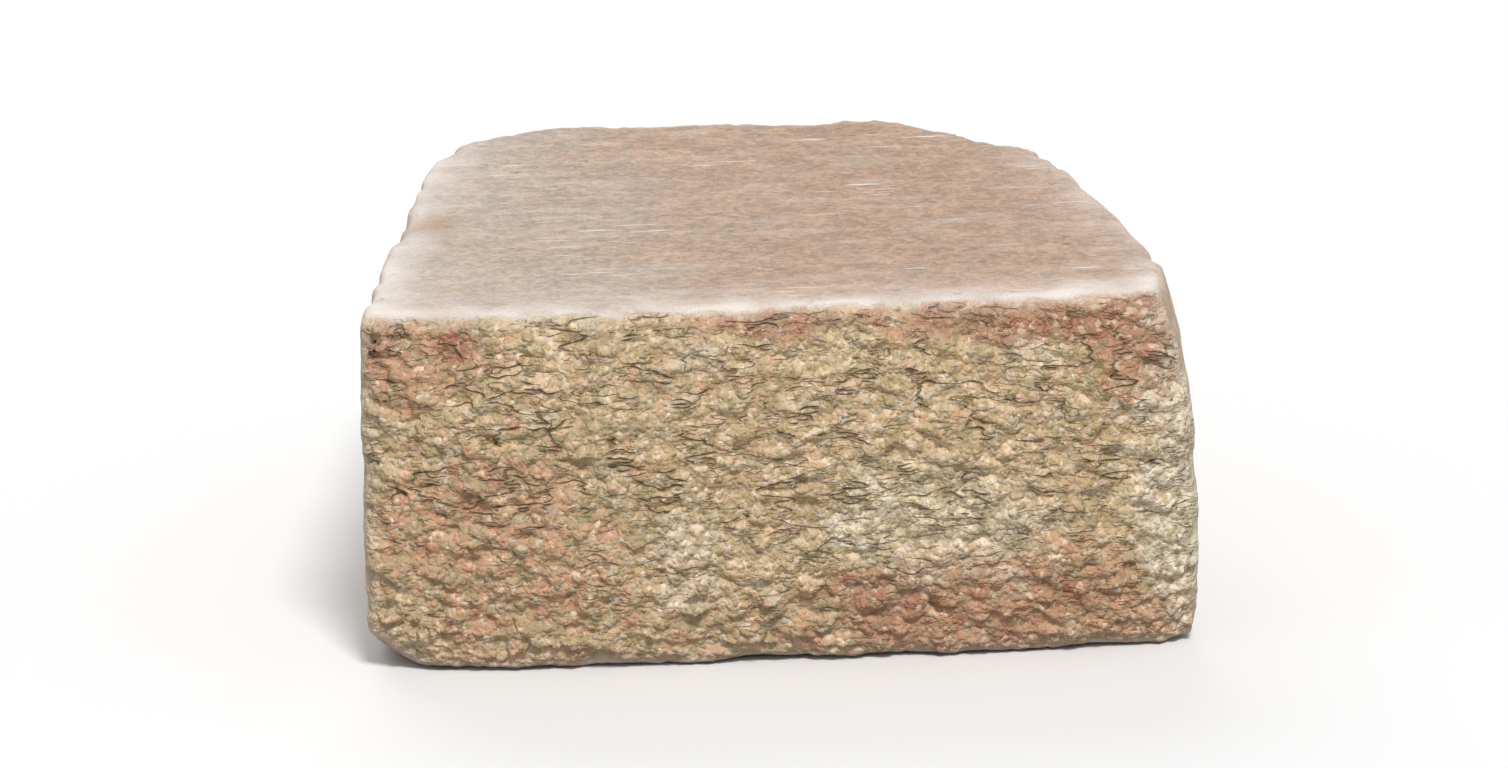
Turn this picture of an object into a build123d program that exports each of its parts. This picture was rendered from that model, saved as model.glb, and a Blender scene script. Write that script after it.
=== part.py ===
"""Tapered stacking block for a dry-laid garden wall, cast in concrete as one piece.

The frame: +Z is up, X runs along the block's length and Y through its depth, with the
long split face at -Y and the short one at +Y. The origin is under the middle of the
block, at the height of the bed that it rests on. Lengths are in millimetres.
"""

from build123d import *
import math
import os

# Overall size, measured to the corners before the tumbling drum wore them
FRONT_LENGTH = 300
BACK_LENGTH = 210
DEPTH = 290
HEIGHT = 130

# Split faces: how far they fall back at their ends and at the beds
FRONT_FALL_AT_ENDS = 7
BACK_FALL_AT_ENDS = 5
FALL_AT_BEDS = 3.4
PILLOW_POWER = 3

# The broad waves of a break, measured from their middle to their crests
BREAK_RELIEF = 2
LONG_WAVE = 165
SHORT_WAVE = 58

# The rounding of the split faces' edges, which wavers by a share of itself
FRONT_LEFT_ROUND = 10
FRONT_RIGHT_ROUND = 14
FRONT_HEAD_ROUND = 5
FRONT_FOOT_ROUND = 6
BACK_END_ROUND = 12
BACK_BED_ROUND = 7
WAVER_SHARE = 0.3
WAVER_ALONG = 41
WAVER_UP = 83

# The moulded edges along the two sides, and the well worn back left corner
SIDE_HEAD_ROUND = 4
SIDE_FOOT_ROUND = 4
BACK_LEFT_ROUND = 52

# The corner broken off at the back right, on a slant that dies out at its foot
BROKEN_ALONG_BACK = 48
BROKEN_ALONG_SIDE = 55
BROKEN_AT_FOOT = 14
BROKEN_DOME = 260
BROKEN_ROUGHNESS = 0.5

# The chip at the foot of the front left corner
CHIP_WIDTH = 22
CHIP_HEIGHT = 18
CHIP_DEPTH = 45
CHIP_DOME = 130

# The worn head of the front right corner
WORN_WIDTH = 16
WORN_HEIGHT = 52
WORN_DEPTH = 45
WORN_DOME = 300
WORN_ROUGHNESS = 0.15

# Where the waves of each torn surface start, as angles in radians
FRONT_PHASE = 0.8
BACK_PHASE = 2.3
BROKEN_PHASE = 1.3
CHIP_PHASE = 0.4
WORN_PHASE = 2.0

# Spacing of the points that shape a torn surface, and its reach past what it cuts
SURVEY_STEP = 11
OVERSHOOT = 2
FACET_REACH = 0.85

half_front = FRONT_LENGTH / 2
half_back = BACK_LENGTH / 2
half_depth = DEPTH / 2
half_height = HEIGHT / 2
side_slope = (half_front - half_back) / DEPTH


def side_x(y):
    """Half of the block's length at the place y of its depth."""
    return half_front - side_slope * (y + half_depth)


def crowded(reach):
    """Places from -reach to reach that crowd towards both, where an edge rolls over."""
    steps = math.ceil(math.pi * reach / SURVEY_STEP)
    return [-reach * math.cos(math.pi * step / steps) for step in range(steps + 1)]


def rolled(inside, radius):
    """How far a rounded edge falls away at a distance inside it.

    An exponential that drops a third of the radius at the edge itself, where it
    slopes by some 40 degrees, and has died out two radii inside.
    """
    return radius / 3 * math.exp(-inside / (0.4 * radius))


def wave(place, length, phase):
    """A wave of the given length, from -1 to 1."""
    return math.sin(2 * math.pi * place / length + phase)


def torn_waves(u, v, phase):
    """Three crossing waves, from -1 to 1, as a tearing break leaves them."""
    long_roll = wave(u, LONG_WAVE, phase)
    shelves = 0.6 * wave(v, SHORT_WAVE, 2 * phase)
    ridges = 0.5 * wave(u + 0.7 * v, SHORT_WAVE, 3 * phase)
    return (long_roll + shelves + ridges) / 2.1


def torn(u, v, phase):
    """How far a torn surface lies below its highest crests."""
    return BREAK_RELIEF * (1 + torn_waves(u, v, phase))


def surface_behind(plane, reach_u, reach_v, behind):
    """A smooth surface that lies as far behind a plane as behind(u, v) says."""
    points = [
        [plane.from_local_coords((u, v, -behind(u, v))) for u in crowded(reach_u)]
        for v in crowded(reach_v)
    ]
    return Face.make_surface_from_array_of_points(points, tol=0.05)


def split_surface(plane, half_length, fall_at_ends, left, right, foot, head, phase):
    """The torn surface of a split face, just behind a plane.

    It falls back in a rounded pillow towards its ends and the beds, is torn into waves,
    and rolls over at its four edges with the given radii, which waver.
    """

    def behind(u, v):
        to_end = abs(u / half_length) ** PILLOW_POWER
        to_bed = abs(v / half_height) ** PILLOW_POWER
        pillow = fall_at_ends * to_end + FALL_AT_BEDS * to_bed
        along = 1 + WAVER_SHARE * wave(u, WAVER_ALONG, phase)
        up = 1 + WAVER_SHARE * wave(v, WAVER_UP, phase)
        ends = rolled(half_length + u, left * up) + rolled(half_length - u, right * up)
        beds = rolled(half_height + v, foot * along) + rolled(half_height - v, head * along)
        return pillow + ends + beds + torn(u, v, phase)

    return surface_behind(plane, half_length + OVERSHOOT, half_height + OVERSHOOT, behind)


def facet_surface(plane, reach, dome, roughness, phase):
    """A broken or worn facet under a plane: a shallow dome with a share of the tearing."""

    def behind(u, v):
        return (u * u + v * v) / (2 * dome) + roughness * torn(u, v, phase)

    return surface_behind(plane, reach, reach, behind)


def plane_through(first, second, third):
    """The plane through three points, facing away from the block's middle."""
    middle = Vector(0, 0, half_height)
    first, second, third = Vector(first), Vector(second), Vector(third)
    normal = (second - first).cross(third - first)
    if normal.dot(first - middle) < 0:
        normal = -normal
    return Plane((first + second + third) / 3, x_dir=second - first, z_dir=normal)


# The two split faces
front_plane = Plane((0, -half_depth, half_height), x_dir=(1, 0, 0), z_dir=(0, -1, 0))
front_surface = split_surface(
    front_plane,
    half_front,
    FRONT_FALL_AT_ENDS,
    FRONT_LEFT_ROUND,
    FRONT_RIGHT_ROUND,
    FRONT_FOOT_ROUND,
    FRONT_HEAD_ROUND,
    FRONT_PHASE,
)
back_plane = Plane((0, half_depth, half_height), x_dir=(-1, 0, 0), z_dir=(0, 1, 0))
back_surface = split_surface(
    back_plane,
    half_back,
    BACK_FALL_AT_ENDS,
    BACK_END_ROUND,
    BACK_END_ROUND,
    BACK_BED_ROUND,
    BACK_BED_ROUND,
    BACK_PHASE,
)

# The break at the back corner
broken_plane = plane_through(
    (half_back - BROKEN_ALONG_BACK, half_depth, HEIGHT),
    (side_x(half_depth - BROKEN_ALONG_SIDE), half_depth - BROKEN_ALONG_SIDE, HEIGHT),
    (half_back - BROKEN_AT_FOOT, half_depth, 0),
)
broken_reach = FACET_REACH * max(BROKEN_ALONG_BACK, BROKEN_ALONG_SIDE, HEIGHT)
broken_surface = facet_surface(
    broken_plane, broken_reach, BROKEN_DOME, BROKEN_ROUGHNESS, BROKEN_PHASE
)

# The chip and the worn head at the front corners, which start where the pillow ends
front_end_y = -half_depth + FRONT_FALL_AT_ENDS
chip_plane = plane_through(
    (-half_front, front_end_y, CHIP_HEIGHT),
    (-half_front + CHIP_WIDTH, front_end_y, 0),
    (-side_x(front_end_y + CHIP_DEPTH), front_end_y + CHIP_DEPTH, 0),
)
chip_reach = FACET_REACH * max(CHIP_WIDTH, CHIP_HEIGHT, CHIP_DEPTH)
chip_surface = facet_surface(chip_plane, chip_reach, CHIP_DOME, WORN_ROUGHNESS, CHIP_PHASE)
worn_plane = plane_through(
    (half_front, front_end_y, HEIGHT - WORN_HEIGHT),
    (half_front - WORN_WIDTH, front_end_y, HEIGHT),
    (side_x(front_end_y + WORN_DEPTH), front_end_y + WORN_DEPTH, HEIGHT),
)
worn_reach = FACET_REACH * max(WORN_WIDTH, WORN_HEIGHT, WORN_DEPTH)
worn_surface = facet_surface(worn_plane, worn_reach, WORN_DOME, WORN_ROUGHNESS, WORN_PHASE)

with BuildPart() as block:
    # The mould's bed, wider at the front, drawn up to the block's height
    with BuildSketch():
        with BuildLine():
            Polyline(
                (-half_front, -half_depth),
                (half_front, -half_depth),
                (half_back, half_depth),
                (-half_back, half_depth),
                close=True,
            )
        make_face()
        fillet(vertices().sort_by_distance((-half_back, half_depth))[0], BACK_LEFT_ROUND)
    extrude(amount=HEIGHT)
    # The moulded edges at the head and the foot
    fillet(faces().sort_by(Axis.Z)[-1].edges(), SIDE_HEAD_ROUND)
    fillet(faces().sort_by(Axis.Z)[0].edges(), SIDE_FOOT_ROUND)
    # The two faces where the block was split from its neighbours in the mould
    extrude(front_surface, amount=DEPTH, dir=front_plane.z_dir, mode=Mode.SUBTRACT)
    extrude(back_surface, amount=DEPTH, dir=back_plane.z_dir, mode=Mode.SUBTRACT)
    # What the drum knocked off the corners
    extrude(broken_surface, amount=broken_reach, dir=broken_plane.z_dir, mode=Mode.SUBTRACT)
    extrude(chip_surface, amount=chip_reach, dir=chip_plane.z_dir, mode=Mode.SUBTRACT)
    extrude(worn_surface, amount=worn_reach, dir=worn_plane.z_dir, mode=Mode.SUBTRACT)

block.part.label = "block"
os.makedirs("parts", exist_ok=True)
export_step(block.part, "parts/block.step")
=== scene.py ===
# %% [markdown]
# # A tapered stacking block of tumbled concrete
#
# The block is one casting. In the factory a wide slab is moulded in blended sand and
# terracotta concrete and split across with a guillotine. What it gives is rolled in a
# drum until the edges are worn. So there are two kinds of surface: torn faces at the
# front and back, and moulded ones on the beds and sides.
#
# The two could be separate meshes, but the wear runs from one onto the other, and a seam
# would show along every edge. So this file makes them as one closed skin, over the solid
# that the drawing describes.

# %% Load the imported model
import itertools
import math

import bpy
import numpy as np
from mathutils import Matrix, Vector


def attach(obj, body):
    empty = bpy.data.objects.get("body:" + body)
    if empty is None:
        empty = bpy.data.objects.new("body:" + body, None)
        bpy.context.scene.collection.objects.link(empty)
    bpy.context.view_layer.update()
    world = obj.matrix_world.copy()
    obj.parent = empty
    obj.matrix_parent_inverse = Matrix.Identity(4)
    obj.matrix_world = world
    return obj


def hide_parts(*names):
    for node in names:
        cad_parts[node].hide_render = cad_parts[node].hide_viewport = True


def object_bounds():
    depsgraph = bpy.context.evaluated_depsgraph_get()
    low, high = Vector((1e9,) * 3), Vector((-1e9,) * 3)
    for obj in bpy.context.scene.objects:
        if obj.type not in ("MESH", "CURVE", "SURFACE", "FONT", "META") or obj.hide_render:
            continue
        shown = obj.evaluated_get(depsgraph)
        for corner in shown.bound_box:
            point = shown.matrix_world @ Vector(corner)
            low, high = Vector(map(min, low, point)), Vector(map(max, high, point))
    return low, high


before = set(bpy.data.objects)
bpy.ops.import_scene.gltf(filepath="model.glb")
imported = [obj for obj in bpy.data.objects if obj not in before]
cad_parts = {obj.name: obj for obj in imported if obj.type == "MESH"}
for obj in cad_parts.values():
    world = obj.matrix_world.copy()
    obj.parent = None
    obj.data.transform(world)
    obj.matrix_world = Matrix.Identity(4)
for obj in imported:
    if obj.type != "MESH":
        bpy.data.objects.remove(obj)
cad_low, cad_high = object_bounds()
print("CAD box, m:", [round(v, 4) for v in (*cad_low, *cad_high)])

# %% [markdown]
# ## Sizes
#
# Lengths are in millimetres, as on the block's drawing, and become metres only when a
# mesh is made. The skin could be pulled onto the solid's mesh, but that has too few
# points for it. The names and values here are those of the solid instead, so that the
# skin lies on it by itself. Only the wide round at the back left is smaller than the
# solid's 52 mm, because here it starts from the fallen end of the back face.

# %% Name the sizes
MM = 0.001
FRONT_LENGTH = 300
BACK_LENGTH = 210
DEPTH = 290
HEIGHT = 130
HALF_FRONT = FRONT_LENGTH / 2
HALF_BACK = BACK_LENGTH / 2
HALF_DEPTH = DEPTH / 2
HALF_HEIGHT = HEIGHT / 2
SIDE_SLOPE = (HALF_FRONT - HALF_BACK) / DEPTH
SIDE_LENGTH = math.hypot(HALF_FRONT - HALF_BACK, DEPTH)

# How far the split faces fall back, and the broad waves of a break
FRONT_FALL_AT_ENDS = 7
BACK_FALL_AT_ENDS = 5
FALL_AT_BEDS = 3.4
PILLOW_POWER = 3
BREAK_RELIEF = 2
LONG_WAVE = 165
SHORT_WAVE = 58
FRONT_PHASE = 0.8
BACK_PHASE = 2.3

# The rounding of the split faces' edges, at the left, right, foot and head
FRONT_ROUNDS = (10, 14, 6, 5)
BACK_ROUNDS = (12, 12, 7, 7)
WAVER_SHARE = 0.3
WAVER_ALONG = 41
WAVER_UP = 83

# The broken corner, the chip and the worn head, and the wide round at the back left
BROKEN_ALONG_BACK = 48
BROKEN_ALONG_SIDE = 55
BROKEN_AT_FOOT = 14
CHIP_WIDTH = 22
CHIP_HEIGHT = 18
CHIP_DEPTH = 45
WORN_WIDTH = 16
WORN_HEIGHT = 52
WORN_DEPTH = 45
BACK_LEFT_ROUND = 44
print("side leans in by", round(math.degrees(math.atan(SIDE_SLOPE)), 2), "degrees")

# %% [markdown]
# ## Noise
#
# Broken stone has no outline to draw, so its relief comes from noise. Blender's own
# textures could displace a mesh, but worked out here as arrays the same numbers also
# steer the colour, so that a gap in the relief is darkened in the colour too, with dirt
# and painted shade. It all grows from one hash of whole numbers, so that every run gives
# the same block.


# %% Hash the cells of a lattice
def lattice(cell, channel, seed):
    """A fixed random number from 0 to 1 for each whole-number cell (n, 3).

    The three numbers are multiplied by large odd ones and mixed with the seed, and the
    bits are stirred twice, so that neighbours have nothing in common.
    """
    whole = cell.astype(np.int64).astype(np.uint32)
    mixed = whole[:, 0] * np.uint32(73856093)
    mixed ^= whole[:, 1] * np.uint32(19349663)
    mixed ^= whole[:, 2] * np.uint32(83492791)
    mixed ^= np.uint32((seed * 2654435761 + channel * 40503 + 97) % 2**32)
    for _ in range(2):
        mixed ^= mixed >> np.uint32(15)
        mixed *= np.uint32(2246822519)
        mixed ^= mixed >> np.uint32(13)
        mixed *= np.uint32(3266489917)
    mixed ^= mixed >> np.uint32(16)
    return mixed / 2.0**32


def tell_range(name, values):
    """Prints the smallest and the largest of some values."""
    print(name, "from", values.min().round(2), "to", values.max().round(2))


TEST_LINE = np.linspace((0, 0, 0), (300, 90, 60), 2000)
tell_range("random numbers", lattice(TEST_LINE, 0, 1))

# %% [markdown]
# Random values on a lattice, blended between its corners, would line up with it. So each
# corner gets a random slope instead, and a point blends the slopes round it. Stone is
# rough at every scale, so finer and weaker noise is laid on top.


# %% Make smooth and layered noise
def noise(points, size, seed):
    """Smooth noise, about -1 to 1, whose lumps are of the given size.

    Each lattice corner has a random slope. A point takes the slopes of the eight
    corners round it, each weighted by a smooth step of how near it is.
    """
    place = points / np.asarray(size, float)
    base = np.floor(place)
    inside = place - base
    step = inside**3 * (inside * (inside * 6 - 15) + 10)
    total = np.zeros(len(points))
    for corner in itertools.product((0, 1), repeat=3):
        cell = base + corner
        slope = np.stack([lattice(cell, n, seed) for n in range(3)], axis=1) * 2 - 1
        weight = np.where(np.array(corner) == 1, step, 1 - step).prod(axis=1)
        total += weight * ((inside - corner) * slope).sum(axis=1)
    return 1.7 * total


def layered(points, size, seed, layers=3, rough=0.5):
    """Noise with finer noise on top: each layer is half as large and `rough` as strong."""
    size = np.asarray(size, float)
    total = sum(rough**n * noise(points, size / 2**n, seed + 31 * n) for n in range(layers))
    return total / sum(rough**n for n in range(layers))


tell_range("layered noise", layered(TEST_LINE, 10, 1))

# %% [markdown]
# Grains, the sockets that they left and air holes are round, and noise has no round
# lumps. So these are domes of random radius, strewn over the same kind of lattice.


# %% Strew round stones
def stones(points, size, share, seed, small=0.35, large=0.8):
    """The height, from 0 to 1, of domes of random radius on a jittered lattice.

    A cell of the lattice holds a stone with the chance `share`. Over a stone of radius
    r the height is 1 - (distance / r)^2, and where stones overlap the higher one shows.
    """
    place = points / np.asarray(size, float)
    base = np.floor(place)
    height = np.zeros(len(points))
    for neighbour in itertools.product((-1, 0, 1), repeat=3):
        cell = base + neighbour
        middle = cell + np.stack([lattice(cell, n, seed) for n in range(3)], axis=1)
        radius = small + (large - small) * lattice(cell, 3, seed)
        dome = 1 - ((place - middle) ** 2).sum(axis=1) / radius**2
        dome = np.where(lattice(cell, 4, seed) < share, dome, 0)
        height = np.maximum(height, dome)
    return height


tell_range("stones", stones(TEST_LINE, 10, 0.5, 1))

# %% [markdown]
# ## The body
#
# A worn block could be a box with a Bevel modifier, but then every edge is alike. Here
# each face is a function that says how far a point lies outside it. The block is where
# all of them are negative, and a soft maximum of them rounds the edges between any two
# faces, however they meet.


# %% Tear a face in broad waves
def wave(place, length, phase):
    """A sine wave of the given length, from -1 to 1."""
    return np.sin(2 * np.pi * place / length + phase)


def broad_tearing(u, v, phase):
    """How far a break lies below its highest crests, in mm.

    Three waves are added up: a long roll, shelves and slanting ridges.
    """
    ridges = 0.5 * wave(u + 0.7 * v, SHORT_WAVE, 3 * phase)
    waves = wave(u, LONG_WAVE, phase) + 0.6 * wave(v, SHORT_WAVE, 2 * phase) + ridges
    return BREAK_RELIEF * (1 + waves / 2.1)


tell_range("broad tearing, mm", broad_tearing(TEST_LINE[:, 0], TEST_LINE[:, 2], FRONT_PHASE))

# %% [markdown]
# A split face is fullest in its middle and falls back towards its edges, where the drum
# has rolled them over. A bevel would be as wide all along. Here the fall is a sum: powers
# of the distance from the middle, and an exponential from each edge, whose radius wavers.


# %% Pillow a split face and roll its edges
def rolled(inside, radius):
    """The fall of a rolled edge: an exponential that dies out two radii inside it."""
    return radius / 3 * np.exp(-np.clip(inside, -radius, None) / (0.4 * radius))


def split_fall(u, v, half_length, fall_at_ends, rounds, phase):
    """How far a split face lies behind its plane: a pillow, rolled edges and tearing."""
    left, right, foot, head = rounds
    pillow = fall_at_ends * np.abs(u / half_length) ** PILLOW_POWER
    pillow = pillow + FALL_AT_BEDS * np.abs(v / HALF_HEIGHT) ** PILLOW_POWER
    along = 1 + WAVER_SHARE * wave(u, WAVER_ALONG, phase)
    up = 1 + WAVER_SHARE * wave(v, WAVER_UP, phase)
    ends = rolled(half_length + u, left * up) + rolled(half_length - u, right * up)
    beds = rolled(HALF_HEIGHT + v, foot * along) + rolled(HALF_HEIGHT - v, head * along)
    return pillow + ends + beds + broad_tearing(u, v, phase)


along_front = np.linspace(-HALF_FRONT, HALF_FRONT, 200)
front_fall = split_fall(along_front, 0, HALF_FRONT, FRONT_FALL_AT_ENDS, FRONT_ROUNDS, FRONT_PHASE)
tell_range("fall along the front, mm", front_fall)

# %% [markdown]
# The broken corner, the chip and the worn head each cut across a corner. A boolean cut
# with a plane would leave them flat and sharp. As functions like the faces they get the
# same rounded edges. Each is a plane through three points on the block's edges, with a
# shallow dome and a share of the tearing.

# %% Dome a facet across a corner
CENTRE = np.array([0, 0, HALF_HEIGHT])


def facet(corners, dome, reach, roughness, phase):
    """The function of a domed facet, given three corners of its plane.

    It is the height above the plane, plus the square of the distance from the middle
    over twice the dome's radius, which stops growing at the facet's reach, plus a share
    of the tearing.
    """
    first, second, third = (np.array(c, float) for c in corners)
    normal = np.cross(second - first, third - first)
    normal /= np.linalg.norm(normal)
    middle = (first + second + third) / 3
    if normal @ (middle - CENTRE) < 0:
        normal = -normal
    along = (second - first) / np.linalg.norm(second - first)
    upwards = np.cross(normal, along)

    def outside(p):
        away = p - middle
        height = away @ normal
        across = np.minimum((away**2).sum(axis=1) - height**2, reach**2)
        tearing = roughness * broad_tearing(away @ along, away @ upwards, phase)
        return height + across / (2 * dome) + tearing

    return outside


def side_x(y):
    """Half of the block's length at the place y of its depth."""
    return HALF_FRONT - SIDE_SLOPE * (y + HALF_DEPTH)


print("half of the back's length:", side_x(HALF_DEPTH), "mm")

# %% Place the broken corner
broken_corner = facet(
    (
        (HALF_BACK - BROKEN_ALONG_BACK, HALF_DEPTH, HEIGHT),
        (side_x(HALF_DEPTH - BROKEN_ALONG_SIDE), HALF_DEPTH - BROKEN_ALONG_SIDE, HEIGHT),
        (HALF_BACK - BROKEN_AT_FOOT, HALF_DEPTH, 0),
    ),
    dome=260,
    reach=110,
    roughness=0.5,
    phase=1.3,
)
print("from the middle to the broken corner, mm:", -broken_corner(CENTRE[None]).round(1))

# %% Place the chip and the worn head
front_end_y = -HALF_DEPTH + FRONT_FALL_AT_ENDS
foot_chip = facet(
    (
        (-HALF_FRONT, front_end_y, CHIP_HEIGHT),
        (-HALF_FRONT + CHIP_WIDTH, front_end_y, 0),
        (-side_x(front_end_y + CHIP_DEPTH), front_end_y + CHIP_DEPTH, 0),
    ),
    dome=130,
    reach=38,
    roughness=0.15,
    phase=0.4,
)
worn_head = facet(
    (
        (HALF_FRONT, front_end_y, HEIGHT - WORN_HEIGHT),
        (HALF_FRONT - WORN_WIDTH, front_end_y, HEIGHT),
        (side_x(front_end_y + WORN_DEPTH), front_end_y + WORN_DEPTH, HEIGHT),
    ),
    dome=300,
    reach=44,
    roughness=0.15,
    phase=2.0,
)
for facet_name, function in (("chip", foot_chip), ("worn head", worn_head)):
    print("from the middle to the", facet_name + ", mm:", -function(CENTRE[None]).round(1))

# %% Gather the faces
FRONT, BACK, BROKEN, LEFT, RIGHT, TOP, BOTTOM, CHIP, WORN = range(9)


def face_heights(p, torn=0.0, moulded=0.0):
    """How far each point lies outside each face, as an array (n, 9) in the order above.

    The torn faces lie deeper by their relief, and so do the moulded ones. A side leans
    in, so its distance is the level one times the cosine of its lean.
    """
    x, y, z = p.T
    v = z - HALF_HEIGHT
    front = -y - HALF_DEPTH
    front = front + split_fall(x, v, HALF_FRONT, FRONT_FALL_AT_ENDS, FRONT_ROUNDS, FRONT_PHASE)
    back = y - HALF_DEPTH
    back = back + split_fall(-x, v, HALF_BACK, BACK_FALL_AT_ENDS, BACK_ROUNDS, BACK_PHASE)
    lean = DEPTH / SIDE_LENGTH
    left = (-x - side_x(y)) * lean
    right = (x - side_x(y)) * lean
    return np.stack(
        (
            front + torn,
            back + torn,
            broken_corner(p) + torn,
            left + moulded,
            right + moulded,
            z - HEIGHT + moulded,
            -z + moulded,
            foot_chip(p) + moulded,
            worn_head(p) + moulded,
        ),
        axis=1,
    )


print("from the middle to each face, mm:", -face_heights(CENTRE[None])[0].round(1))

# %% [markdown]
# The drum has rounded every edge a little, and the back left corner very much. The
# largest of the faces' heights alone would leave knife edges. A soft maximum rounds them
# by a millimetre or two, and the wide corner gets a true round of its own.

# %% Round the edges
EDGE_SOFTNESS = 1.7


def rounded_corner(first, second, radius):
    """How far points lie outside two faces that are joined by a round of this radius."""
    both = np.hypot(np.maximum(first + radius, 0), np.maximum(second + radius, 0)) - radius
    return np.where((first > -radius) & (second > -radius), both, np.maximum(first, second))


def soft_maximum(heights, softness):
    """The logarithm of a sum of exponentials: the largest height, rounded where two meet."""
    top = heights.max(axis=1)
    spread = np.exp((heights - top[:, None]) / np.reshape(softness, (-1, 1)))
    return top + softness * np.log(spread.sum(axis=1))


def joined_at_round(heights):
    """The heights (n, 8) with the left side and the back joined by their wide round."""
    worn_corner = rounded_corner(heights[:, BACK], heights[:, LEFT], BACK_LEFT_ROUND)
    return np.column_stack((worn_corner, np.delete(heights, (BACK, LEFT), axis=1)))


def outside_block(p, softness, torn=0.0, moulded=0.0):
    """How far points lie outside the whole block: the soft maximum of all its faces."""
    return soft_maximum(joined_at_round(face_heights(p, torn, moulded)), softness)


print("from the middle out of the block, mm:", -outside_block(CENTRE[None], EDGE_SOFTNESS).round(1))

# %% [markdown]
# ## The grid
#
# The skin could be a ball of rings and segments, but its poles would pinch the relief.
# A closed skin without poles is a cube's six faces, each a grid, stretched over the
# block. Each grid point is cast outwards from a small core in the middle of the block,
# and stops where the face functions say the stone ends. Along the depth the rows crowd
# at the split ends, since the long smooth sides need few.

# %% Lay the grid over a cube
COLUMNS, ROWS, LAYERS = 236, 72, 102
CORE = np.array([70, 70, 8])
SHELL = np.array([156, 151, 71])


def crowded(count, share):
    """count + 1 places from -1 to 1, which crowd towards both ends by a share of a sine."""
    even = np.linspace(-1, 1, count + 1)
    return (1 - share) * even + share * np.sin(even * np.pi / 2)


def cube_faces():
    """The six grids of a cube from -1 to 1, with outward faces, as points and quads."""
    spans = [crowded(COLUMNS, 0.15), crowded(ROWS, 0.8), crowded(LAYERS, 0.2)]
    points, quads, start = [], [], 0
    for axis, side in itertools.product(range(3), (-1, 1)):
        one, two = (axis + 1) % 3, (axis + 2) % 3
        a, b = np.meshgrid(spans[one], spans[two], indexing="ij")
        grid = np.empty((*a.shape, 3))
        grid[..., axis], grid[..., one], grid[..., two] = side, a, b
        index = start + np.arange(a.size).reshape(a.shape)
        ring = (index[:-1, :-1], index[1:, :-1], index[1:, 1:], index[:-1, 1:])
        quads.append(np.stack(ring if side > 0 else ring[::-1], axis=-1).reshape(-1, 4))
        points.append(grid.reshape(-1, 3))
        start += a.size
    return np.concatenate(points), np.concatenate(quads)


def weld(points, quads):
    """The same faces with the points that the grids share along the cube's edges joined."""
    keys = np.round(points * 1e6).astype(np.int64)
    _, first, joined = np.unique(keys, axis=0, return_index=True, return_inverse=True)
    return points[first], joined.reshape(-1)[quads]


cube, quads = weld(*cube_faces())
print("skin:", len(cube), "points and", 2 * len(quads), "triangles")


# %% Cast the grid onto the block
def cast(torn=0.0, moulded=0.0, softness=EDGE_SOFTNESS, steps=24):
    """Where rays from the core through the cube's points leave the block.

    Each ray is halved again and again between a point inside and one outside.
    """
    target = cube * SHELL
    start = np.clip(target, -CORE, CORE)
    near, far = np.zeros(len(cube)), np.ones(len(cube))
    for _ in range(steps):
        middle = (near + far) / 2
        place = CENTRE + start + (target - start) * middle[:, None]
        out = outside_block(place, softness, torn, moulded) > 0
        far = np.where(out, middle, far)
        near = np.where(out, near, middle)
    return CENTRE + start + (target - start) * near[:, None]


smooth = cast()
print("smooth body, mm:", smooth.min(axis=0).round(1), smooth.max(axis=0).round(1))

# %% [markdown]
# ## The torn relief
#
# Where the guillotine tore the concrete, it left flakes that lie over each other like
# shingles, each with a dark gap under its lower edge, and grains of three to six
# millimetres that stand out or left their sockets. Plain noise gives soft hills and no
# gaps. So the flakes are a saw-toothed wave down the face, bent by noise and strong only
# in patches, so that each gap is short. They grow towards the head, and the foot of the
# face is left to the grains.


# %% Lay the flakes
SLANT = 0.28
SLANT_FROM = 40
FALL_SHARE = 0.1


def ramp(value, low, high):
    """A smooth step from 0 at low to 1 at high."""
    t = np.clip((value - low) / (high - low), 0, 1)
    return t * t * (3 - 2 * t)


def shelves(p, pitch, reach, seed):
    """Flakes: 0 where a flake starts, 1 at its lower edge, and a sudden fall below it.

    The place up the face, tilted where the break slants at the right, is bent by two
    noises and cut into pitches. The saw tooth's fall takes a tenth of the pitch.
    """
    tilted = p[:, 2] + SLANT * np.maximum(p[:, 0] - SLANT_FROM, 0)
    bend = 6.0 * noise(p, (36, 36, 24), seed) + 3.6 * noise(p, (12, 12, 9), seed + 1)
    tooth = np.mod((tilted + bend) / pitch, 1.0)
    saw = np.where(tooth < FALL_SHARE, tooth / FALL_SHARE, (1 - tooth) / (1 - FALL_SHARE))
    patch = ramp(noise(p, (reach, reach, pitch * 1.3), seed + 2), -0.25, 0.3)
    return saw * patch


tell_range("flakes", shelves(TEST_LINE, 9.5, 12, 21))

# %% Tear the split faces
LUMP_RISE = 1.2
SOCKET_DEPTH = 1.7
MEAN_RISE = 1.3


def torn_relief(p):
    """Depth below the torn face's smooth form in mm.

    Lumps, two sizes of flakes and two of stones are added up, sockets are taken away,
    and the mean rise less the sum is the depth.
    """
    lumps = layered(p, (34, 34, 24), 11, layers=4, rough=0.65)
    high = ramp(p[:, 2], 30, 75)
    flakes = (0.7 + 1.9 * high) * shelves(p, 9.5, 12, 21) + 1.1 * shelves(p, 5.2, 8, 41)
    coarse = np.minimum(1.8 * stones(p, (7, 7, 6), 0.45, 51), 1)
    fine = stones(p, 3.4, 0.75, 61)
    sockets = stones(p, (7, 7, 5), 0.28, 71)
    pebbles = (1.5 - 0.5 * high) * coarse + (1.2 - 0.3 * high) * fine
    return MEAN_RISE - (LUMP_RISE * lumps + flakes + pebbles - SOCKET_DEPTH * sockets)


torn = torn_relief(smooth)
tell_range("torn relief, mm", torn)

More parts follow.
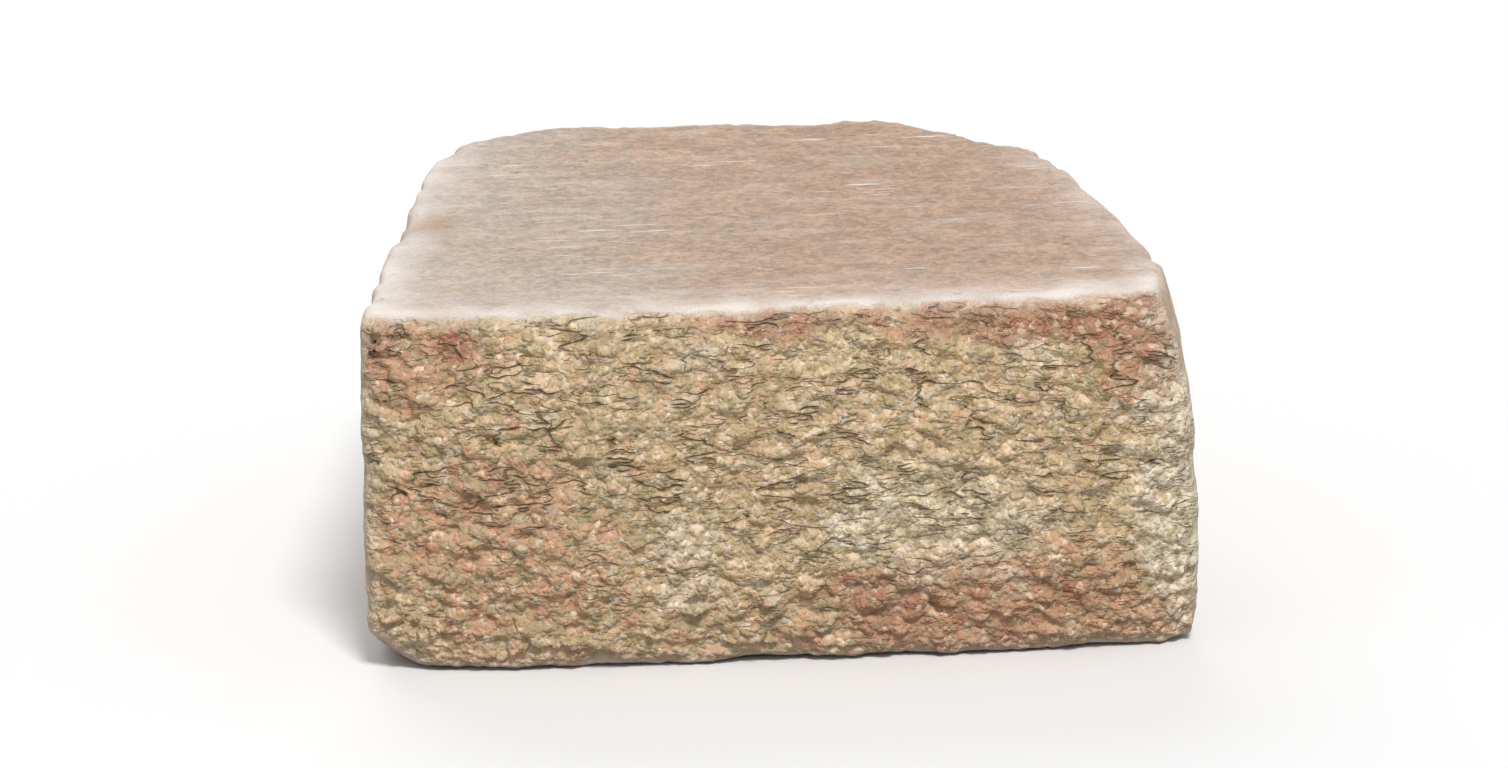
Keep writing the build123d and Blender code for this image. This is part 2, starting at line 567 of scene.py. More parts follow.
# %% [markdown]
# ## The moulded relief
#
# The mould's steel left the beds and sides smooth. They show sand, a few small air
# holes, and broad dents of a fraction of a millimetre. A flat plane would do for them
# from afar, but would catch the light like plastic. The drum has bitten the edges, so
# near them both kinds of surface sink a little wherever a dome of a coarse stone pattern
# lies. A few crests of the split faces would stand up to three millimetres past the
# solid's box. They are cut flat to it, which takes less than a hundredth of each face.


# %% Dent the moulded faces
DENT_DEPTH = 0.35
SAND_DEPTH = 0.12
HOLE_DEPTH = 1.4


def moulded_relief(p):
    """Depth below the moulded faces' planes in mm: dents, sand and round air holes."""
    dents = DENT_DEPTH * (1 + layered(p, 60, 81, layers=3))
    sand = SAND_DEPTH * (1 + noise(p, 5, 86))
    holes = stones(p, 9, 0.12, 91, small=0.12, large=0.3)
    return dents + sand + HOLE_DEPTH * np.sqrt(holes)


moulded = moulded_relief(smooth)
tell_range("moulded relief, mm", moulded)

# %% Bite the edges and cast the skin
BITE_DEPTH = 1.5
BITE_REACH = 7


def edge_distance(p):
    """How far a point lies from the nearest edge of the block, in mm."""
    heights = np.sort(joined_at_round(face_heights(p)), axis=1)
    return heights[:, -1] - heights[:, -2]


from_edge = edge_distance(smooth)
bites = BITE_DEPTH * stones(smooth, (19, 19, 13), 0.45, 101)
bites = bites * np.exp(-((from_edge / BITE_REACH) ** 2))
edge_softness = EDGE_SOFTNESS * (1 + 0.5 * noise(smooth, 28, 111))
skin = cast(torn + bites, moulded + bites, edge_softness)
print("cast skin, mm:", skin.min(axis=0).round(2), skin.max(axis=0).round(2))

# %% Keep the skin inside the solid's box
skin = np.clip(skin, np.array(cad_low) / MM, np.array(cad_high) / MM)
print("skin, mm:", skin.min(axis=0).round(2), skin.max(axis=0).round(2))

# %% [markdown]
# ## The mesh
#
# One mesh stands for the block's node. The finish has to follow the relief: gaps get
# painted shade and dirt, edges are worn pale, and the moulded faces are plainer than the
# torn ones. An image painted over the mesh would need it laid flat first. Here each value
# that steers the finish is kept on the mesh's own points, as a named attribute for the shader.


# %% Make the skin a mesh
def make_mesh(name, points, faces):
    """An object whose mesh has these points, in metres, and these faces, shaded smooth."""
    mesh = bpy.data.meshes.new(name)
    mesh.from_pydata((points * MM).tolist(), [], faces.tolist())
    mesh.polygons.foreach_set("use_smooth", np.ones(len(faces), bool))
    mesh.update()
    made = bpy.data.objects.new(name, mesh)
    bpy.context.scene.collection.objects.link(made)
    return made


def keep(piece, name, values):
    """Writes one number for each point of a piece as a named attribute."""
    attribute = piece.data.attributes.new(name, "FLOAT", "POINT")
    attribute.data.foreach_set("value", values.astype(np.float32))
    tell_range(name, values)


block = make_mesh("stacking_block", skin, quads)
print(block.name, "has", len(block.data.vertices), "points")

# %% [markdown]
# Where two faces meet, the drum has rubbed the finish of the one over the other. A hard
# choice of the nearest face would draw a ruled line there. So each face's height gets
# some noise, and a point belongs to all the faces by the exponentials of their heights:
# mostly to the outermost one, and by halves on a ragged line between two. On the wide
# round at the back left the line wanders further and is softer.

# %% Say which face owns each point
LINE_WANDER, ROUND_WANDER = 1.2, 9
LINE_BLUR, ROUND_BLUR = 1.2, 5.0
EDGE_WEAR_REACH = 3.5
HOLLOW_FROM, HOLLOW_RANGE = 1.6, 2.5

heights = face_heights(skin)
heights[:, :3] += LINE_WANDER * layered(skin, 9, 211, layers=3, rough=0.7)[:, None]
on_round = np.minimum(heights[:, BACK], heights[:, LEFT]) > -BACK_LEFT_ROUND / 2
heights[:, BACK] += ROUND_WANDER * on_round * layered(skin, 22, 221, layers=4, rough=0.7)
blur = np.where(on_round, ROUND_BLUR, LINE_BLUR)[:, None]
owner = np.exp((heights - heights.max(axis=1)[:, None]) / blur)
owner /= owner.sum(axis=1)[:, None]
split_share = owner[:, [FRONT, BACK, BROKEN]].sum(axis=1)
keep(block, "split", split_share)
keep(block, "edge", np.exp(-from_edge / EDGE_WEAR_REACH))
# The hollow mask steers painted shade and dirt: the deep hollows are darkened in the colour
keep(block, "hollow", np.clip((torn - HOLLOW_FROM) / HOLLOW_RANGE, 0, 1) * split_share)

# %% [markdown]
# ## Where the colours lie
#
# The factory drops two batches of concrete into the mould, sand coloured and terracotta,
# and barely mixes them. So the block shows ochre with drifts of red. Lime bloom has
# since dried out in pale patches. Noise alone would put both anywhere. So the drifts
# that make this block what it is are listed one by one, with ragged rims from noise, and
# only the rest of it is mottled by noise alone.


# %% Draw a drift
def drift(p, middle, half_size, ragged, seed):
    """A patch on the front with a ragged rim: 1 inside it and 0 outside.

    The distance from its middle, in half sizes across and up, is bent by noise and put
    through a smooth step.
    """
    away = np.hypot((p[:, 0] - middle[0]) / half_size[0], (p[:, 2] - middle[1]) / half_size[1])
    away = away + ragged * layered(p, 11, seed, layers=3, rough=0.7)
    return 1 - ramp(away, 0.55, 1.15)


def drifts(p, places, ragged, seed):
    """The strongest of several drifts at each point."""
    strongest = np.zeros(len(p))
    for n, (x, z, wide, high, strength) in enumerate(places):
        one = strength * drift(p, (x, z), (wide, high), ragged, seed + n)
        strongest = np.maximum(strongest, one)
    return strongest


# %% Place the drifts
# Each has its place along and up the front, its half sizes and its strength
TERRACOTTA_DRIFTS = (
    (-126, 118, 30, 20, 0.95),
    (-115, 118, 8, 6, 1.5),
    (-12, 127, 26, 9, 0.95),
    (2, 125, 17, 10, 1.25),
    (92, 125, 66, 13, 1.35),
    (132, 112, 28, 26, 1.15),
    (80, 14, 86, 30, 0.95),
    (34, 24, 26, 12, 1.1),
    (-102, 44, 62, 44, 0.6),
    (-30, 10, 70, 16, 0.35),
)
BLOOM_DRIFTS = (
    (27, 52, 11, 16, 0.85),
    (60, 50, 36, 22, 0.6),
    (-37, 47, 13, 11, 0.75),
    (-35, 29, 12, 8, 0.6),
    (-30, 112, 9, 7, 0.6),
    (88, 112, 9, 6, 0.55),
    (140, 58, 20, 64, 1.15),
)
print(len(TERRACOTTA_DRIFTS), "drifts of terracotta and", len(BLOOM_DRIFTS), "of bloom")

# %% Keep the colours' places
on_front = ramp(-skin[:, 1], HALF_DEPTH - 45, HALF_DEPTH - 20)
elsewhere = 1 - on_front
mottled = ramp(layered(skin, (62, 62, 40), 121, layers=4, rough=0.6), 0.0, 0.45)
terracotta = on_front * drifts(skin, TERRACOTTA_DRIFTS, 0.55, 131)
terracotta = terracotta + (0.15 + 0.45 * elsewhere) * mottled
patches = ramp(layered(skin, 26, 171, layers=4), 0.3, 0.6)
bloom = on_front * drifts(skin, BLOOM_DRIFTS, 0.8, 151) + 0.5 * elsewhere * patches
keep(block, "cloud", layered(skin, 16, 201, layers=4, rough=0.75))
keep(block, "terracotta", terracotta)
keep(block, "bloom", np.clip(bloom, 0, 1))

# %% [markdown]
# The drum has rubbed the rims of the beds pale: in a band along the front, in another at
# the left, and over the front right corner. A bevel's mask would give a band of one
# width. The distances from the three edges, each through an exponential and then through
# noise, give bands that swell and fade. There is one small brown stain near the left edge
# of the upper bed.

# %% Rub the rims of the beds and stain one spot
BED_STAIN = (-113, -5)
on_bed = owner[:, TOP] + owner[:, BOTTOM]
from_front = skin[:, 1] - skin[:, 1].min()
from_left = skin[:, 0] + side_x(skin[:, 1])
from_right = side_x(skin[:, 1]) - skin[:, 0]
rim = 1.8 * np.exp(-from_front / 13) + np.exp(-from_left / 12) + 0.6 * np.exp(-from_right / 9)
corner_rub = np.exp(-np.hypot(from_front / 30, from_right / 34) ** 2)
rim = np.clip((rim + corner_rub) * (1 + 0.6 * noise(skin, 14, 181)), 0, 1) * on_bed
grey = ramp(-skin[:, 0] + 50 * layered(skin, 60, 191), -30, 110) * on_bed
from_stain = np.hypot((skin[:, 0] - BED_STAIN[0]) / 8, (skin[:, 1] - BED_STAIN[1]) / 11)
keep(block, "rim", rim)
keep(block, "grey", grey)
keep(block, "stain", np.exp(-(from_stain**2)) * owner[:, TOP])
keep(block, "bed", on_bed)

# %% [markdown]
# ## The finish
#
# The mesh carries the relief down to about two millimetres. Finer grain could be modelled
# too, but with millions of faces, so it is bump, and every bump has its height in
# millimetres. Three small node groups make the patterns that the stone repeats at
# several sizes: grains, fissures and pits. They are given a place in millimetres, taken
# from the object's own coordinates, so that nothing slides when the block moves.


# %% Add nodes and feed their sockets
def feed(tree, socket, value):
    """Links a socket to another node's output, or sets it to a plain value."""
    if isinstance(value, bpy.types.NodeSocket):
        tree.links.new(value, socket)
    else:
        socket.default_value = value


def add(tree, kind, inputs=(), **settings):
    """A node of this kind with its settings and its inputs, which are given by name."""
    node = tree.nodes.new(kind)
    for name, value in settings.items():
        setattr(node, name, value)
    for name, value in dict(inputs).items():
        feed(tree, node.inputs[name], value)
    return node


# %% Reckon with numbers and mix colours
def reckon(tree, operation, first, second=0.0):
    """One step of arithmetic between two numbers."""
    node = tree.nodes.new("ShaderNodeMath")
    node.operation = operation
    feed(tree, node.inputs[0], first)
    feed(tree, node.inputs[1], second)
    return node.outputs[0]


def between(tree, value, low, high, start=0.0, end=1.0):
    """A smooth step from start to end while the value goes from low to high."""
    inputs = {"Value": value, "From Min": low, "From Max": high, "To Min": start, "To Max": end}
    return add(tree, "ShaderNodeMapRange", inputs, interpolation_type="SMOOTHSTEP").outputs[0]


def mix(tree, share, first, second, blend="MIX"):
    """Two colours mixed by a share."""
    node = tree.nodes.new("ShaderNodeMix")
    node.data_type = "RGBA"
    node.blend_type = blend
    feed(tree, node.inputs[0], share)
    feed(tree, node.inputs[6], first)
    feed(tree, node.inputs[7], second)
    return node.outputs[2]


# %% Start a pattern and use it
def pattern_group(name, outputs):
    """A node group that takes a place and a size in mm, and gives these numbers."""
    tree = bpy.data.node_groups.new(name, "ShaderNodeTree")
    tree.interface.new_socket("Place", in_out="INPUT", socket_type="NodeSocketVector")
    tree.interface.new_socket("Size", in_out="INPUT", socket_type="NodeSocketFloat")
    for output in outputs:
        tree.interface.new_socket(output, in_out="OUTPUT", socket_type="NodeSocketFloat")
    start, end = tree.nodes.new("NodeGroupInput"), tree.nodes.new("NodeGroupOutput")
    per_size = reckon(tree, "DIVIDE", 1.0, start.outputs["Size"])
    place = add(tree, "ShaderNodeVectorMath", {"Scale": per_size}, operation="SCALE")
    tree.links.new(start.outputs["Place"], place.inputs[0])
    return tree, place.outputs[0], end


def use(tree, group, place, size):
    """The outputs of a pattern group at a place, for a size in mm."""
    node = tree.nodes.new("ShaderNodeGroup")
    node.node_tree = group
    feed(tree, node.inputs["Place"], place)
    feed(tree, node.inputs["Size"], float(size))
    return node.outputs


# %% [markdown]
# Sand and gravel are packed grains, each with a colour of its own. A Voronoi texture has
# such cells, but its borders are straight, as in cut glass. Noise bends the place first,
# and the cells come out rounded and uneven.


# %% Make the grains
def grain_group():
    """Packed grains: the rise of each, from 0 in the gaps to 1, and a tint of its own.

    The distance to the nearest of scattered points, after noise has bent the place.
    """
    tree, place, end = pattern_group("grains", ("Rise", "Tint"))
    bend = add(tree, "ShaderNodeTexNoise", {"Vector": place, "Scale": 1.1, "Detail": 2.0})
    bent = add(tree, "ShaderNodeVectorMath", operation="MULTIPLY_ADD")
    tree.links.new(bend.outputs["Color"], bent.inputs[0])
    bent.inputs[1].default_value = (0.55, 0.55, 0.55)
    tree.links.new(place, bent.inputs[2])
    cells = add(tree, "ShaderNodeTexVoronoi", {"Vector": bent.outputs[0], "Scale": 1.0})
    tint = add(tree, "ShaderNodeSeparateColor", {"Color": cells.outputs["Color"]})
    feed(tree, end.inputs["Rise"], between(tree, cells.outputs["Distance"], 0.12, 0.78, 1.0, 0.0))
    feed(tree, end.inputs["Tint"], tint.outputs[0])
    return tree


grains = grain_group()
print("grains:", len(grains.nodes), "nodes")

# %% [markdown]
# Between the flakes run short dark cracks, wavy and mostly level. Drawn one by one they
# would be hundreds. The places where a stretched noise is at its mean are such lines
# already, and a second noise picks short pieces of them.


# %% Make the fissures
def fissure_group():
    """Short wavy cracks along the face: 1 in their middle, 0 beside them.

    They lie where a stretched noise passes its mean, and only where a second noise is
    strong, so that each runs a few sizes and stops.
    """
    tree, place, end = pattern_group("fissures", ("Depth",))
    flat = add(tree, "ShaderNodeMapping", {"Vector": place, "Scale": (0.38, 0.38, 1.2)})
    bands = {"Vector": flat.outputs[0], "Scale": 1.0, "Detail": 2.5}
    lines = add(tree, "ShaderNodeTexNoise", bands)
    off_mean = reckon(tree, "ABSOLUTE", reckon(tree, "SUBTRACT", lines.outputs[0], 0.5))
    sharp = between(tree, off_mean, 0.0, 0.03, 1.0, 0.0)
    where = add(tree, "ShaderNodeTexNoise", {"Vector": place, "Scale": 0.62, "Detail": 1.0})
    chosen = between(tree, where.outputs[0], 0.47, 0.6)
    feed(tree, end.inputs["Depth"], reckon(tree, "MULTIPLY", sharp, chosen))
    return tree


fissures = fissure_group()
print("fissures:", len(fissures.nodes), "nodes")

# %% [markdown]
# Air that could not leave the mould left round pits in the moulded faces. They are the
# middles of a few Voronoi cells, picked by the cell's own colour.


# %% Make the pits
def pit_group():
    """Scattered round pits: 1 in their middle, 0 between them."""
    tree, place, end = pattern_group("pits", ("Depth",))
    cells = add(tree, "ShaderNodeTexVoronoi", {"Vector": place, "Scale": 1.0})
    chance = add(tree, "ShaderNodeSeparateColor", {"Color": cells.outputs["Color"]})
    hole = between(tree, cells.outputs["Distance"], 0.1, 0.3, 1.0, 0.0)
    chosen = between(tree, chance.outputs[1], 0.8, 1.0)
    feed(tree, end.inputs["Depth"], reckon(tree, "MULTIPLY", hole, chosen))
    return tree


pits = pit_group()
print("pits:", len(pits.nodes), "nodes")

# %% [markdown]
# ## The concrete
#
# The block's colours are those of its two batches, of the lime that bloomed on it, of the
# dirt in its gaps and of its rubbed rims. They could be one texture's colour ramp, but a
# ramp mixes only neighbours. Named colours, laid over each other by masks, can meet in
# any pair. The patterns are placed here once, and both kinds of face share them.

# %% Start the concrete
OCHRE = (0.71, 0.54, 0.30, 1)
SAND = (0.78, 0.62, 0.43, 1)
TERRACOTTA = (0.63, 0.37, 0.23, 1)
DEEP_RED = (0.38, 0.15, 0.09, 1)
LIME_BLOOM = (0.88, 0.77, 0.60, 1)
# Painted shade and dirt: the dark brown that gaps, fissures, hollows and air pits are mixed towards
DIRT_AND_PAINTED_SHADE = (0.21, 0.125, 0.055, 1)
BED_PINK = (0.50, 0.355, 0.26, 1)
BED_GREY = (0.54, 0.45, 0.365, 1)
BED_RIM = (0.92, 0.85, 0.79, 1)
STAIN_BROWN = (0.42, 0.25, 0.13, 1)

material = bpy.data.materials.new("blended_concrete")
material.use_nodes = True
tree = material.node_tree
shader = tree.nodes["Principled BSDF"]
coordinates = tree.nodes.new("ShaderNodeTexCoord")
in_mm = add(tree, "ShaderNodeVectorMath", {"Scale": 1 / MM}, operation="SCALE")
tree.links.new(coordinates.outputs["Object"], in_mm.inputs[0])
place = in_mm.outputs[0]


def value_of(name):
    """The number that the mesh keeps under this name."""
    return add(tree, "ShaderNodeAttribute", attribute_name=name).outputs["Fac"]


split = value_of("split")
cloud = value_of("cloud")
print("concrete so far:", len(tree.nodes), "nodes")

# %% Place the patterns
COARSE_GRAIN = 4.2
FINE_GRAIN = 1.9
WIDE_FISSURE = 9
THIN_FISSURE = 4.8
AIR_PIT = 7
FEW_FLAKES_BELOW = 15
ALL_FLAKES_ABOVE = 80

coarse_grain = use(tree, grains, place, COARSE_GRAIN)
fine_grain = use(tree, grains, place, FINE_GRAIN)
upright = add(tree, "ShaderNodeSeparateXYZ", {"Vector": place}).outputs["Z"]
flaky = between(tree, upright, FEW_FLAKES_BELOW, ALL_FLAKES_ABOVE, 0.3, 1.0)
wide_fissure = reckon(tree, "MULTIPLY", use(tree, fissures, place, WIDE_FISSURE)[0], flaky)
thin_fissure = reckon(tree, "MULTIPLY", use(tree, fissures, place, THIN_FISSURE)[0], flaky)
bed_pit = use(tree, pits, place, AIR_PIT)[0]
sandy = {"Vector": place, "Scale": 1.3, "Detail": 3.0, "Roughness": 0.65}
grit = add(tree, "ShaderNodeTexNoise", sandy).outputs[0]
print("with the patterns:", len(tree.nodes), "nodes")

# %% [markdown]
# A torn face shows the inside of the concrete. Painting a drift in one red would look
# dyed. How red a grain is depends on the drift it lies in, on a cloud and on the grain
# itself, so that red and ochre grains mix at a drift's rim.

# %% Blend the two batches
red = reckon(tree, "ADD", value_of("terracotta"), between(tree, cloud, -0.5, 0.5, -0.3, 0.3))
red = reckon(tree, "ADD", red, between(tree, coarse_grain["Tint"], 0.0, 1.0, -0.4, 0.4))
red = reckon(tree, "ADD", red, between(tree, fine_grain["Tint"], 0.0, 1.0, -0.2, 0.2))
dry = mix(tree, between(tree, fine_grain["Tint"], 0.2, 0.9), OCHRE, SAND)
torn_colour = mix(tree, between(tree, red, -0.1, 1.15), dry, TERRACOTTA)
deep = between(tree, red, 1.2, 1.7, 0.0, 0.75)
torn_colour = mix(tree, deep, torn_colour, DEEP_RED)
print("with the two batches:", len(tree.nodes), "nodes")

# %% [markdown]
# Lime has dried out over the grains, mostly in the patches of bloom, and a few of the
# finest grains are quartz and as pale. A white film would hide the grains. So the lime
# takes some grains and spares others, and every grain is a little lighter or darker.

# %% Lay the lime and shade each grain
limed = reckon(tree, "MULTIPLY", value_of("bloom"), between(tree, fine_grain["Tint"], 0.15, 0.6, 0.35, 1.0))
limed = reckon(tree, "MULTIPLY", limed, between(tree, grit, 0.35, 0.6, 0.6, 1.0))
torn_colour = mix(tree, limed, torn_colour, LIME_BLOOM)
pale_grain = between(tree, fine_grain["Tint"], 0.82, 0.95, 0.0, 0.5)
torn_colour = mix(tree, pale_grain, torn_colour, LIME_BLOOM)
shade = between(tree, coarse_grain["Tint"], 0.0, 1.0, 0.8, 1.16)
speck = between(tree, fine_grain["Tint"], 0.0, 1.0, 0.84, 1.14)
torn_colour = mix(tree, 1.0, torn_colour, reckon(tree, "MULTIPLY", shade, speck), blend="MULTIPLY")
print("with lime and shade:", len(tree.nodes), "nodes")

# %% [markdown]
# The gaps between the grains, the fissures and the deep hollows are darkened in the colour:
# partly dirt, and partly painted shade, which stands in for the shade that falls into them.
# Ambient occlusion would find the hollows, but it is slow and knows nothing of a fissure that
# is only bump. The patterns and the kept relief say where all of them are. Where the drum has
# worn an edge, it is pale.

# %% Paint shade and dirt into the gaps and rub the edges
# Painted shade and dirt: grain gaps, fissures and hollows are darkened in the colour
gap_dirt_and_shade = reckon(tree, "MULTIPLY", reckon(tree, "SUBTRACT", 1.0, coarse_grain["Rise"]), 0.35)
gap_dirt_and_shade = reckon(tree, "ADD", gap_dirt_and_shade, reckon(tree, "MULTIPLY", wide_fissure, 0.8))
gap_dirt_and_shade = reckon(tree, "ADD", gap_dirt_and_shade, reckon(tree, "MULTIPLY", thin_fissure, 0.5))
gap_dirt_and_shade = reckon(tree, "ADD", gap_dirt_and_shade, reckon(tree, "MULTIPLY", value_of("hollow"), 0.4))
torn_colour = mix(tree, between(tree, gap_dirt_and_shade, 0.15, 1.3, 0.0, 0.85), torn_colour, DIRT_AND_PAINTED_SHADE)
worn = reckon(tree, "MULTIPLY", value_of("edge"), between(tree, grit, 0.35, 0.6, 0.15, 0.6))
torn_colour = mix(tree, worn, torn_colour, LIME_BLOOM)
print("with the torn faces:", len(tree.nodes), "nodes")

# %% [markdown]
# A moulded face shows the fine cement skin: pinkish, greyer at the left of the bed, and
# more sandy on the sides. A plain colour would look painted. The skin has the drifts and
# the bloom of the torn faces, but faintly, since cement covers the grains.

# %% Colour the cement skin
bed_colour = mix(tree, value_of("grey"), BED_PINK, BED_GREY)
bed_colour = mix(tree, between(tree, value_of("bed"), 0.0, 1.0, 0.45, 0.0), bed_colour, SAND)
drifted = between(tree, red, -0.4, 1.2, 0.04, 0.36)
bed_red = reckon(tree, "MULTIPLY", between(tree, fine_grain["Tint"], 0.1, 0.9, 0.2, 1.0), drifted)
bed_colour = mix(tree, bed_red, bed_colour, TERRACOTTA)
dusty = reckon(tree, "MULTIPLY", value_of("bloom"), between(tree, value_of("bed"), 0.0, 1.0, 0.55, 0.1))
bed_colour = mix(tree, dusty, bed_colour, LIME_BLOOM)
print("with the cement skin:", len(tree.nodes), "nodes")

# %% Vary its sand's tone and darken its air pits with painted shade and dirt
sand_shade = between(tree, fine_grain["Tint"], 0.0, 1.0, 0.83, 1.11)
sand_shade = reckon(tree, "MULTIPLY", sand_shade, between(tree, cloud, -0.6, 0.6, 0.91, 1.06))
sand_shade = reckon(tree, "MULTIPLY", sand_shade, between(tree, grit, 0.3, 0.7, 0.9, 1.1))
sand_shade = reckon(tree, "MULTIPLY", sand_shade, between(tree, coarse_grain["Tint"], 0.0, 1.0, 0.92, 1.06))
bed_colour = mix(tree, 1.0, bed_colour, sand_shade, blend="MULTIPLY")
# Painted shade and dirt: the air pits are darkened in the colour
bed_colour = mix(tree, reckon(tree, "MULTIPLY", bed_pit, 0.3), bed_colour, DIRT_AND_PAINTED_SHADE)
print("with sand and pits:", len(tree.nodes), "nodes")

# %% [markdown]
# Soft pale streaks run along the bed, as handling leaves them, and there are a few short
# scratches. Curves could be drawn for them, but a noise that is stretched along the bed
# gives hundreds of thin marks at once. A second and very wide noise keeps the scratches
# to two or three places.

# %% Streak and scratch the beds
rubbed = add(tree, "ShaderNodeMapping", {"Vector": place, "Scale": (0.03, 0.11, 0.11)})
rub_streak = add(tree, "ShaderNodeTexNoise", {"Vector": rubbed.outputs[0], "Scale": 1.0, "Detail": 4.0})
streak = between(tree, rub_streak.outputs[0], 0.45, 0.75, 0.0, 0.2)
scraped = add(tree, "ShaderNodeMapping", {"Vector": place, "Scale": (0.035, 0.6, 0.5)})
scraped.inputs["Rotation"].default_value = (0, 0, 0.5)
scrape = add(tree, "ShaderNodeTexNoise", {"Vector": scraped.outputs[0], "Scale": 1.0, "Detail": 1.0})
scratch = between(tree, scrape.outputs[0], 0.66, 0.71, 0.0, 0.9)
dragged = add(tree, "ShaderNodeTexNoise", {"Vector": place, "Scale": 0.022, "Detail": 1.0})
scratch = reckon(tree, "MULTIPLY", scratch, between(tree, dragged.outputs[0], 0.56, 0.62))
light_marks = reckon(tree, "MAXIMUM", streak, scratch)
bed_colour = mix(tree, reckon(tree, "MULTIPLY", light_marks, value_of("bed")), bed_colour, BED_RIM)
print("with the marks:", len(tree.nodes), "nodes")

# %% Rub the rims nearly white and stain the bed
rub = reckon(tree, "MULTIPLY", value_of("rim"), between(tree, grit, 0.3, 0.6, 0.75, 1.0))
bed_colour = mix(tree, reckon(tree, "MAXIMUM", rub, worn), bed_colour, BED_RIM)
stained = reckon(tree, "MULTIPLY", value_of("stain"), between(tree, grit, 0.35, 0.6, 0.4, 0.8))
bed_colour = mix(tree, stained, bed_colour, STAIN_BROWN)
print("with rims and stain:", len(tree.nodes), "nodes")

# %% [markdown]
# The finest relief is the sum of the same patterns, each times its height in millimetres,
# so that a grain's colour and its bump agree. A normal map would hold the same, but only
# for one scale of the block.


# %% Raise the grain
def relief(steps):
    """The sum of several patterns, each times its height in mm."""
    total = 0.0
    for pattern, height in steps:
        total = reckon(tree, "ADD", reckon(tree, "MULTIPLY", pattern, height), total)
    return total


# %% Sum up each surface's relief
torn_rise = relief(
    (
        (coarse_grain["Rise"], 0.9),
        (fine_grain["Rise"], 0.6),
        (grit, 0.5),
        (wide_fissure, -1.5),
        (thin_fissure, -0.8),
    )
)
bed_rise = relief(((fine_grain["Rise"], 0.13), (grit, 0.3), (bed_pit, -0.9)))
rise = add(tree, "ShaderNodeMix", {"Factor": split, "A": bed_rise, "B": torn_rise})
bump = add(tree, "ShaderNodeBump", {"Height": rise.outputs[0], "Distance": MM, "Strength": 1.0})
tree.links.new(bump.outputs[0], shader.inputs["Normal"])
feed(tree, shader.inputs["Base Color"], mix(tree, split, bed_colour, torn_colour))
feed(tree, shader.inputs["Roughness"], between(tree, grit, 0.3, 0.7, 0.97, 0.82))
shader.inputs["Specular IOR Level"].default_value = 0.3
print("concrete:", len(tree.nodes), "nodes")

# %% [markdown]
# The finished skin takes the place of the solid's node: it is what is seen, and the solid
# stays for its weight and its collisions. There is no joint, so it rides on the root.

# %% Put the skin in the solid's place
block.data.materials.append(material)
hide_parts("block")
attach(block, "root")
print(block.name, "stands for the solid, in", material.name)

# %% [markdown]
# ## The floor, the light and the camera
#
# A studio sweep could be bent up behind the block, but a level floor that runs past the
# horizon looks the same and has no bend to light. A white floor would throw so much light
# back at the lower half of the block that its relief would fade. So the floor is pale
# only to the camera and to mirrors, and greyer where it lights the block.

# %% Lay a pale floor
FLOOR_REACH = 40
FLOOR_SEEN = (0.93, 0.93, 0.93, 1)
FLOOR_AS_LIGHT = (0.4, 0.39, 0.37, 1)

sides = np.array([(-1, -1, 0), (1, -1, 0), (1, 1, 0), (-1, 1, 0)])
floor = make_mesh("floor", sides * FLOOR_REACH / MM, np.array([(0, 1, 2, 3)]))
floor_material = bpy.data.materials.new("pale_floor")
floor_material.use_nodes = True
floor_tree = floor_material.node_tree
floor_shader = floor_tree.nodes["Principled BSDF"]
ray = floor_tree.nodes.new("ShaderNodeLightPath").outputs
seen = reckon(floor_tree, "MAXIMUM", ray["Is Camera Ray"], ray["Is Glossy Ray"])
seen = reckon(floor_tree, "MAXIMUM", seen, ray["Is Transmission Ray"])
floor_colour = mix(floor_tree, seen, FLOOR_AS_LIGHT, FLOOR_SEEN)
feed(floor_tree, floor_shader.inputs["Base Color"], floor_colour)
floor_shader.inputs["Roughness"].default_value = 0.9
floor_shader.inputs["Specular IOR Level"].default_value = 0.0
floor.data.materials.append(floor_material)
print("floor:", 2 * FLOOR_REACH, "m across")

# %% [markdown]
# Area lights near the block would light its head more than its foot, and the floor only
# round it. A sun falls evenly on everything, and a wide one has soft shadows. One stands
# high at the front, low enough for the flakes to cast their short shadows. A weaker and
# wider one from behind keeps the back face from going dull, and the white world fills
# what both miss.


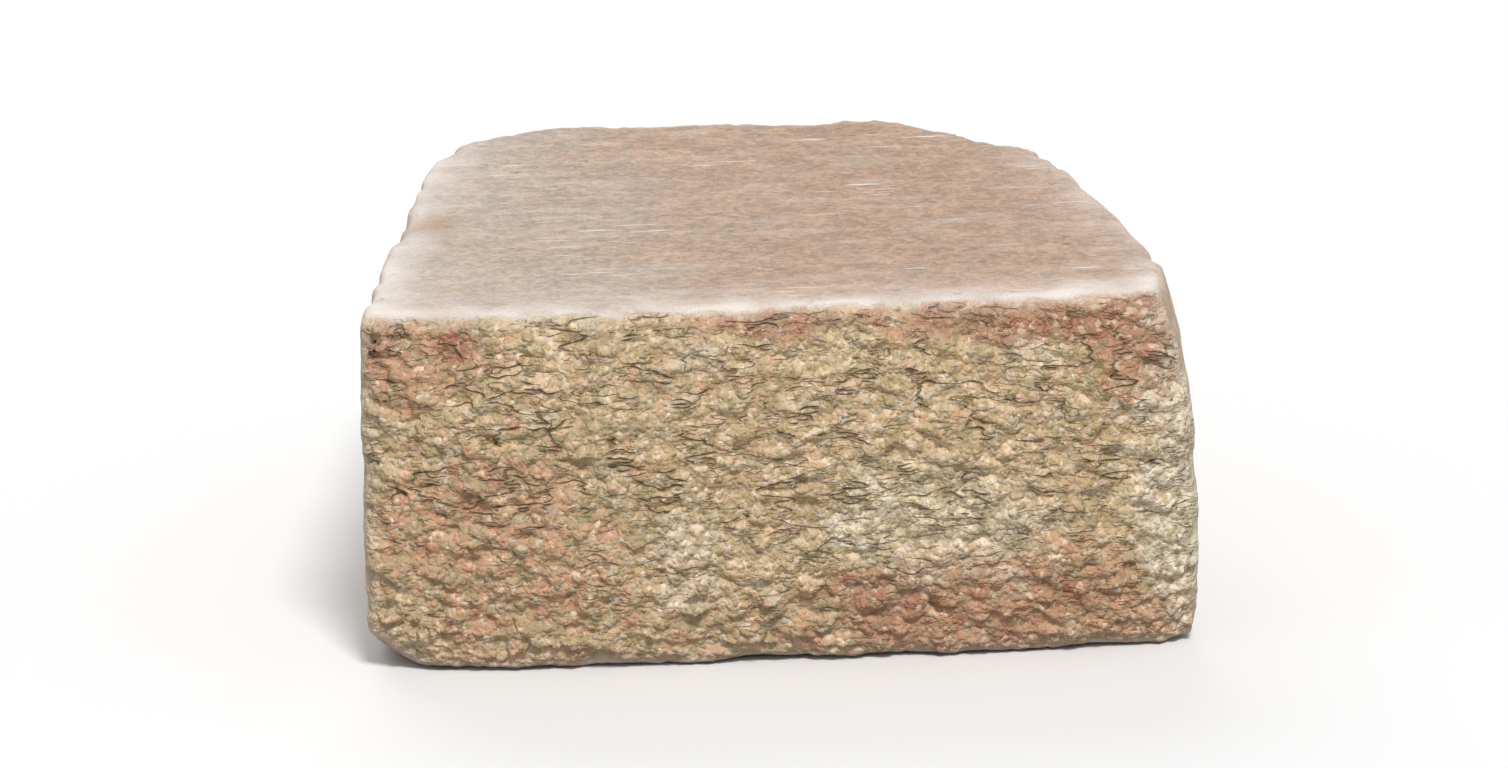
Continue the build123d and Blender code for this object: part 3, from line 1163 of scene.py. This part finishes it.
# %% Hang the lights
def direction(swing, height):
    """The unit vector towards a place that is swung this far from the front, and as high."""
    swing, height = math.radians(swing), math.radians(height)
    level = math.cos(height)
    return Vector((math.sin(swing) * level, -math.cos(swing) * level, math.sin(height)))


def soft_light(name, towards, power, width):
    """A far and wide light, which falls evenly on the block and on the whole floor."""
    light = bpy.data.lights.new(name, "SUN")
    light.energy = power
    light.angle = math.radians(width)
    holder = bpy.data.objects.new(name, light)
    holder.rotation_euler = (-towards).to_track_quat("-Z", "Y").to_euler()
    bpy.context.scene.collection.objects.link(holder)
    print(name, "comes from", tuple(round(v, 2) for v in towards))


soft_light("high_front_light", direction(8, 50), 2.25, 14)
soft_light("low_back_light", direction(190, 35), 0.75, 40)

WORLD_STRENGTH = 0.4
world = bpy.data.worlds.new("studio")
world.use_nodes = True
bpy.context.scene.world = world
sky = world.node_tree.nodes["Background"]
sky.inputs["Color"].default_value = (1, 1, 1, 1)
sky.inputs["Strength"].default_value = WORLD_STRENGTH

# %% [markdown]
# The photograph was taken from far off with a long lens, from a little left of the
# block's middle and from low above it, so that its sides hardly converge. The camera
# stands 4.3 metres away on that line. It could sit nearer with a wider lens, but then
# the bed would look longer and its edges would converge too much.

# %% Set up the camera
CAMERA_SWING = -4
CAMERA_HEIGHT = 15
CAMERA_ROLL = -1
CAMERA_DISTANCE = 4.29
CAMERA_LENS = 283

back = direction(CAMERA_SWING, CAMERA_HEIGHT)
target = Vector((0, 0, HALF_HEIGHT * MM))
roll = Matrix.Rotation(math.radians(CAMERA_ROLL), 4, "Z").to_quaternion()
camera_data = bpy.data.cameras.new("camera")
camera_data.lens = CAMERA_LENS
camera = bpy.data.objects.new("camera", camera_data)
camera.rotation_mode = "QUATERNION"
camera.location = target + back * CAMERA_DISTANCE
camera.rotation_quaternion = (-back).to_track_quat("-Z", "Y") @ roll
bpy.context.scene.collection.objects.link(camera)
bpy.context.scene.camera = camera
bpy.context.scene.view_settings.view_transform = "Standard"
print("camera at, m:", tuple(round(v, 2) for v in camera.location))
